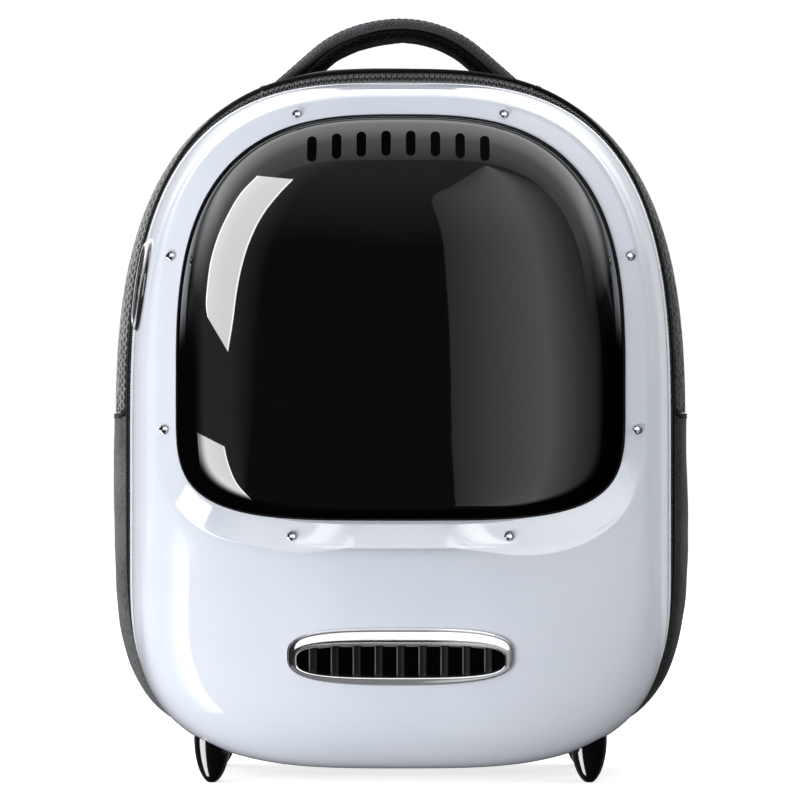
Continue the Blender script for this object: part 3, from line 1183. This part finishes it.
# Padding
def swell(made, held, pressure, cap, frames=16, stiff=12.0):
    """Blows up a closed pad by a cloth simulation, with the points in held kept in place."""
    mesh = made.data
    start = np.empty(len(mesh.vertices) * 3)
    mesh.vertices.foreach_get("co", start)
    group = made.vertex_groups.new(name="held")
    group.add(np.flatnonzero(held).tolist(), 1.0, "REPLACE")
    cloth = made.modifiers.new("cloth", "CLOTH")
    settings = cloth.settings
    settings.quality = 6
    settings.mass = 0.2
    settings.tension_stiffness = settings.compression_stiffness = stiff
    settings.shear_stiffness = stiff / 2
    settings.bending_stiffness = 0.4
    settings.use_pressure = True
    settings.uniform_pressure_force = pressure
    settings.vertex_group_mass = "held"
    settings.effector_weights.gravity = 0
    cloth.point_cache.frame_start, cloth.point_cache.frame_end = 1, frames
    for number in range(1, frames + 1):
        scene.frame_set(number)
    blown = made.evaluated_get(bpy.context.evaluated_depsgraph_get()).data
    end = np.empty(len(mesh.vertices) * 3)
    blown.vertices.foreach_get("co", end)
    move = (end - start).reshape(-1, 3)
    size = np.linalg.norm(move, axis=1, keepdims=True)
    move *= np.minimum(1, cap * MM / np.maximum(size, 1e-9))
    made.modifiers.remove(cloth)
    made.vertex_groups.remove(group)
    mesh.vertices.foreach_set("co", start + move.ravel())
    mesh.update()
    scene.frame_set(1)


END_ROWS = 3  # rings at each end of a pad that are sewn down


def seams_of(made, sewn):
    """Which points of a padded tube are held: its ends, and on each ring those that are sewn."""
    held = np.ones(len(made.data.vertices), bool)
    around, rows = len(sewn), len(held) // len(sewn)
    held[END_ROWS * around: (rows - END_ROWS) * around] = np.tile(sewn, rows - 2 * END_ROWS)
    return held


# Handle: a woven band over a netted pad
HANDLE_Y, HANDLE_TOP, HANDLE_HALF = 56.0, 435.7, 15
END_THICKER, END_WIDER, OVER_BODY = 0.22, 2.5, 0.35
ARC, ARC_HALF, SPLAY, HANDLE_END = 73.0, 44.0, 0.72, 82.0
LEFT_LEAN = 3.6  # the left leg stands further out
STEPS = 241
MID = STEPS // 2
handle_x = np.linspace(-HANDLE_END, HANDLE_END, STEPS)
arc_drop = ARC * (np.sqrt(np.maximum(0, 1 - (np.minimum(np.abs(handle_x), ARC_HALF) / ARC) ** 2)) - 1)
handle_z = arc_drop - math.tan(SPLAY) * np.maximum(np.abs(handle_x) - ARC_HALF, 0)
window = np.hanning(33) / np.hanning(33).sum()
padded_z = np.concatenate([2 * handle_z[0] - handle_z[16:0:-1], handle_z, 2 * handle_z[-1] - handle_z[-2:-18:-1]])
handle_z = np.convolve(padded_z, window, "valid")
handle_z += HANDLE_TOP - handle_z.max()
handle_normal = unit(np.stack([-np.gradient(handle_z, handle_x), np.zeros(STEPS), np.ones(STEPS)], -1))
handle_out = (handle_x / HANDLE_END) ** 2
handle_side = np.clip(-handle_x / 45, 0, 1)


def body_height(x, y, below=False):
    """Height of the fabric body's top, or of its underside, at a place."""
    rows = smooth_rows(GUSSET, np.interp(y, GUSSET[:, 7], np.arange(len(GUSSET))))
    middle, end, power = (rows[..., k] for k in ((3, 4, 6) if below else (2, 1, 5)))
    share = np.minimum(np.abs(x) / rows[..., 0], 0.999)
    return middle + (end - middle) * (1 - share ** power) ** (1 / power)


def handle_tube(profile, rows=90):
    """A layer of the handle. A profile row is a share of its half width and a depth under its top."""
    lines = []
    for y_share, depth in profile:
        leant_x = handle_x - LEFT_LEAN * handle_side ** 2 * (3 - 2 * handle_side)
        line = np.stack([leant_x, np.full(STEPS, HANDLE_Y), handle_z], -1)
        line = line - handle_normal * (depth * (1 + END_THICKER * handle_out))[:, None]
        line[:, 1] += y_share * (HANDLE_HALF + END_WIDER * handle_out)
        above = line[:, 2] - body_height(line[:, 0], line[:, 1]) - OVER_BODY
        right = MID + np.argmax(above[MID:] < 0)
        left = MID - np.argmax(above[MID::-1] < 0)
        ends = [
            low + (high - low) * above[low] / (above[low] - above[high])
            for low, high in ((left, left + 1), (right, right - 1))]
        lines.append(sample(line, np.arange(STEPS), np.linspace(*ends, rows)))
    return np.stack(lines, 1)


def soft_oblong(wide, top, bottom, power):
    return oval(wide, (top - bottom) / 2, power, turns(36)) + [0, (top + bottom) / 2]


band_profile, pad_profile = soft_oblong(1.0, 0.0, 6.0, 3.2), soft_oblong(0.95, 6.35, 13.0, 2.6)
band_rings = handle_tube(band_profile)
band_faces = Faces()
band_faces.tube(band_rings)
for beside in (-0.8, 0.8):
    column = int(np.argmin(np.abs(band_profile[:, 0] - beside) + np.where(band_profile[:, 1] < 1.5, 0, 9)))
    line = band_rings[:, column]
    stitch(band_faces, line, line - band_rings.mean(1), 3.8, 2.8, 0.42)
piece("handle_cover", mesh_of("handle_band", band_faces, 60), [HANDLE_WEB, THREAD], "webbing", "handle_band")

pad_faces = Faces()
pad_faces.tube(handle_tube(pad_profile))
handle_pad = piece("handle_padding", mesh_of("handle_pad", pad_faces, 60), [HANDLE_MESH], "net", "handle_pad")
swell(handle_pad, seams_of(handle_pad, pad_profile[:, 1] < 7.4), 5.0, 1.1)

# Feet
FOOT_X, FOOT_HALF, FOOT_TIP, FOOT_TALL, FOOT_DEEP, FOOT_ROUND = 106, 10.3, 2.6, 25.0, 13, 48
UNDER_SHELL, UNDER_FABRIC = 0.35, 0.8  # gaps over the feet
foot_flat = oval(1, 1, 2.5, turns(FOOT_ROUND))
foot_lean = math.sin(math.acos(FOOT_TIP / FOOT_HALF))


def foot_x(z):
    """Steps across from a foot's middle at a height. It narrows in an arc to its tip."""
    return FOOT_HALF * np.cos(np.arcsin(np.clip((1 - z / FOOT_TALL) * foot_lean, 0, 1))) * foot_flat[:, 0]


feet = []
for place_name, y_at in (("front", -34.0), ("back", 92.0)):
    for side_name, sign in SIDES:
        top = np.full(FOOT_ROUND, 16.0)  # a first guess, which six rounds bring to the surface above
        for _ in range(6):
            x, y = sign * FOOT_X + foot_x(top), y_at + FOOT_DEEP * foot_flat[:, 1]
            if place_name == "front":
                top = np.array([on_skin((a, b, -40), (0, 0, 1))[0][2] for a, b in zip(x, y)]) - UNDER_SHELL
            else:
                top = body_height(x, y, True) - UNDER_FABRIC
        rows = []
        for share in np.concatenate([[0, 0.01, 0.035, 0.07], np.linspace(0.12, 1, 22)]):
            z = share * top
            deep = FOOT_DEEP - 2.4 * np.exp(-z / 1.4)
            rows.append(np.stack([sign * FOOT_X + foot_x(z), y_at + deep * foot_flat[:, 1], z], -1))
        foot = Faces()
        foot.tube(np.stack(rows))
        name = f"foot_{place_name}_{side_name}"
        feet.append(piece(name + "_pad", mesh_of(name, foot, 45), [GLOSS_BLACK], "black_plastic", name))

# Padded back: a square grid drawn out to the outline of the seam
SIZE, BACK_MIDDLE, BACK_Y, BACK_RISE, BORDER_AT = 34, 181.0, 121.6, 9.6, 0.86
CHANNEL_X, CHANNEL_ZS, CHANNEL_LEAN = 24, (262, 142), 0.12
SEAM_WIDE, SEAM_DEEP, BORDER_WIDE, EDGE_ROUND = 5.0, 2.4, 0.022, 0.16
a, b = np.meshgrid(np.linspace(-1, 1, 2 * SIZE + 1), np.linspace(-1, 1, 2 * SIZE + 1), indexing="xy")
across, up = np.abs(a), np.abs(b)
far = np.maximum(across, up)
eighth = np.where(across >= up, up / np.maximum(across, 1e-9), 2 - across / np.maximum(up, 1e-9))
turned = np.where(a >= 0, eighth * math.pi / 4, math.pi - eighth * math.pi / 4)
turned = np.where(b >= 0, turned, 2 * math.pi - turned)
blend = np.where(b > 1e-9, 1.0, np.where(b < -1e-9, 0.0, 0.5))
rim = spot(BACK_SEAM, turned, blend)
rim[..., 2] = np.where(blend == 0.5, BACK_MIDDLE, rim[..., 2])
centre = np.array([0, 0, BACK_MIDDLE])
back = centre + far[..., None] * (rim - centre) * [1, 0, 1]
edge_in = np.clip((1 - far) / EDGE_ROUND, 0, 1)
rise = np.sqrt(np.maximum(0, 1 - (1 - edge_in) ** 2))
x, z = np.abs(back[..., 0]), back[..., 2]
gap = np.minimum.reduce([  # distance to the sewn lines
    np.abs(x - CHANNEL_X),
    *(np.where(x > CHANNEL_X, np.abs(z - low - CHANNEL_LEAN * x), 99) for low in CHANNEL_ZS)])
sewn = np.exp(-(gap / SEAM_WIDE) ** 2) * np.clip((BORDER_AT - far) / 0.03, 0, 1)
sewn = np.maximum(sewn, np.exp(-((far - BORDER_AT) / BORDER_WIDE) ** 2))
back[..., 1] = BACK_Y + BACK_RISE * rise - SEAM_DEEP * sewn
front = back.copy()
front[..., 1] = BACK_Y - 0.6
back_faces = Faces()
back_faces.wall(back, front, np.stack([back[..., 0], z], -1), wrap=False, lining=1)
back_panel = piece("back_padding", mesh_of("back_panel", back_faces, 70), [BACK_MESH, LINING], "fabric", "back_panel")
held = np.ones(len(back_panel.data.vertices), bool)
held[: far.size] = ((sewn > 0.55) | (far > 0.93)).ravel()
swell(back_panel, held, 7.0, 4.2)
smooth = back_panel.modifiers.new("smooth", "SUBSURF")
smooth.levels = smooth.render_levels = 1
bake(back_panel)

# Shoulder straps, as on the right: x, y, z, half width, thickness and turn with the shoulder
PAD = np.array([
    [46, 140.6, 386, 25, 9, 0], [46.4, 140.8, 371, 27, 9.4, 0], [48, 147.5, 355, 30, 11, 0.08],
    [51, 167, 333, 32, 12.5, 0.16], [56, 184, 300, 33, 12.5, 0.18], [63, 191, 258, 33, 12.5, 0.18],
    [71, 189, 214, 31, 12, 0.18], [80, 180, 172, 27, 11, 0.16],
], float)
ADJUSTER = np.array([[80.08, 179.9, 171.6, 19, 5, 0.16], [84.55, 174.94, 150.8, 19, 5, 0.16]], float)
WEB = np.array([
    [84.68, 174.76, 150.2, 12.5, 2, 0.16], [92.6, 161, 113, 12.5, 2, 0.1], [99.4, 147, 80, 12.5, 2, 0.05],
    [102.4, 138.6, 62, 12.5, 2, 0], [103, 137, 46, 12.5, 2, 0],
], float)
PAD_POWER, PAD_WIDE, PAD_STEPS, PAD_ROUND = 3.4, 0.985, 64, 40
PAD_THIN, PAD_END = 0.74, 0.03  # its thickness before it swells, and its rounded ends, as shares
BUCKLE_STEPS, BUCKLE_SIDE, BAR_HALF = 9, 16.2, 15.2


def strap_frames(table, steps):
    rows = smooth_rows(table, np.linspace(0, len(table) - 1, steps))
    places = rows[:, :3]
    along = unit(np.gradient(places, axis=0))
    sideways = np.stack([np.ones(steps), rows[:, 5], np.zeros(steps)], -1)
    across = unit(sideways - along * (sideways * along).sum(1, keepdims=True))
    return rows, places, across, np.cross(along, across)


def strap_rings(places, across, through, flat):
    """Rings round a line. Flat has steps across and through it, for each place or for all."""
    flat = np.broadcast_to(flat, (len(places),) + flat.shape[-2:])
    return places[:, None] + flat[..., :1] * across[:, None] + flat[..., 1:] * through[:, None]


for side_name, sign in SIDES[::-1]:
    left = sign < 0
    rows, places, across, through = strap_frames(PAD, PAD_STEPS)
    outline = oval(1, 1, PAD_POWER, turns(PAD_ROUND))
    run = np.linspace(0, 1, PAD_STEPS)
    close = np.sqrt(np.clip(1 - (1 - np.clip(np.minimum(run, 1 - run) / PAD_END, 0, 1)) ** 2, 0.04, 1))
    sizes = np.stack([rows[:, 3] * PAD_WIDE, rows[:, 4] / 2 * PAD_THIN * close], -1)
    pad = Faces()
    pad.tube(strap_rings(places, across, through, sizes[:, None] * outline))
    pad_piece = piece(
        f"shoulder_pad_{side_name}", mesh_of(f"strap_pad_{side_name}", pad, 70, mirror=left), [SPACER], "fabric",
        f"strap_pad_{side_name}")
    swell(pad_piece, seams_of(pad_piece, np.abs(outline[:, 0]) > 0.93), 6.0, 2.0)
    # Edge binding and stitching of the pad
    trimming = Faces()
    for edge_sign in (-1, 1):
        edge_line = places + across * (rows[:, 3:4] * PAD_WIDE * edge_sign)
        sizes = np.stack([np.full(PAD_STEPS, 0.62), np.maximum(rows[:, 4] * 0.30, 2.4)], -1)
        edge_rings = strap_rings(edge_line, across, through, sizes[:, None] * oval(2.6, 1, 2.6, turns(16)))
        trimming.tube(edge_rings[2:-2])
        for face in (-1, 1):
            line = places + across * (rows[:, 3:4] - 4.2) * edge_sign + through * (rows[:, 4:5] * 0.43 + 0.1) * face
            stitch(trimming, line[4:-4], (through * face)[4:-4], 4.2, 3.0, 0.42)
    trim_mesh = mesh_of("trim", trimming, 60, mirror=left)
    piece(f"shoulder_pad_edge_{side_name}", trim_mesh, [BINDING, PALE_THREAD], "fabric")
    # Adjuster: a frame of two sides and three bars, with the webbing through it
    buckle = Faces()
    rows, places, across, through = strap_frames(ADJUSTER, BUCKLE_STEPS)
    for at_side in (-BUCKLE_SIDE, BUCKLE_SIDE):
        buckle.tube(strap_rings(places, across, through, oval(2.6, 2.3, 3, turns(16)) + [at_side, 0]))
    along = unit(places[-1] - places[0])
    reach_x = np.linspace(-BAR_HALF, BAR_HALF, BUCKLE_STEPS)[:, None]
    for station in (1, 4, 7):
        bar_line = places[station] + reach_x * across[station]
        axes = (np.broadcast_to(way, (BUCKLE_STEPS, 3)) for way in (along, through[station]))
        buckle.tube(strap_rings(bar_line, *axes, oval(2.3, 1.9, 2.6, turns(16))), flip=True)
    lift = np.interp(np.arange(BUCKLE_STEPS), [0, 1, 7, 8], [0.4, 1.7, 1.7, 0.4])
    slab = oval(12.4, 0.6, 6.0, turns(32)) + np.stack([np.zeros(BUCKLE_STEPS), lift], -1)[:, None]
    buckle.tube(strap_rings(places, across, through, slab), finish=1)
    piece(
        f"adjuster_{side_name}", mesh_of(f"strap_adjuster_{side_name}", buckle, 45, mirror=left),
        [MOULDED_BLACK, WEBBING], "black_plastic", f"strap_adjuster_{side_name}")
    strap = Faces()
    rows, places, across, through = strap_frames(WEB, 48)
    sizes = np.stack([rows[:, 3], rows[:, 4] / 2], -1)
    strap.tube(strap_rings(places, across, through, sizes[:, None] * oval(1, 1, 8.0, turns(48))))
    for offset in (-9.6, 9.6):
        line = places + across * offset + through * 1.08
        stitch(strap, line[40:], through[40:], 3.4, 2.5, 0.4)
    tail = piece(
        f"strap_tail_{side_name}", mesh_of(f"strap_webbing_{side_name}", strap, 60, mirror=left),
        [WEBBING, PALE_THREAD], "webbing", f"strap_webbing_{side_name}")
    tail_long = float(np.linalg.norm(np.diff(places, axis=0), axis=1).sum())

for made in dome_cards:
    only_for(made, dome)
for made in (stripe_card, *ledge_cards, right_side):
    only_for(made, shell)
only_for(right_card, shell, *rivet_heads, *bright_trim)
only_for(low_card, *rivet_heads)
only_for(foot_card, *feet[:2])
only_for(trim_light, *bright_trim[:2], *rivet_heads)
only_for(trim_low, bright_trim[0])
for made in (trim_side, trim_left):
    only_for(made, *bright_trim[2:])
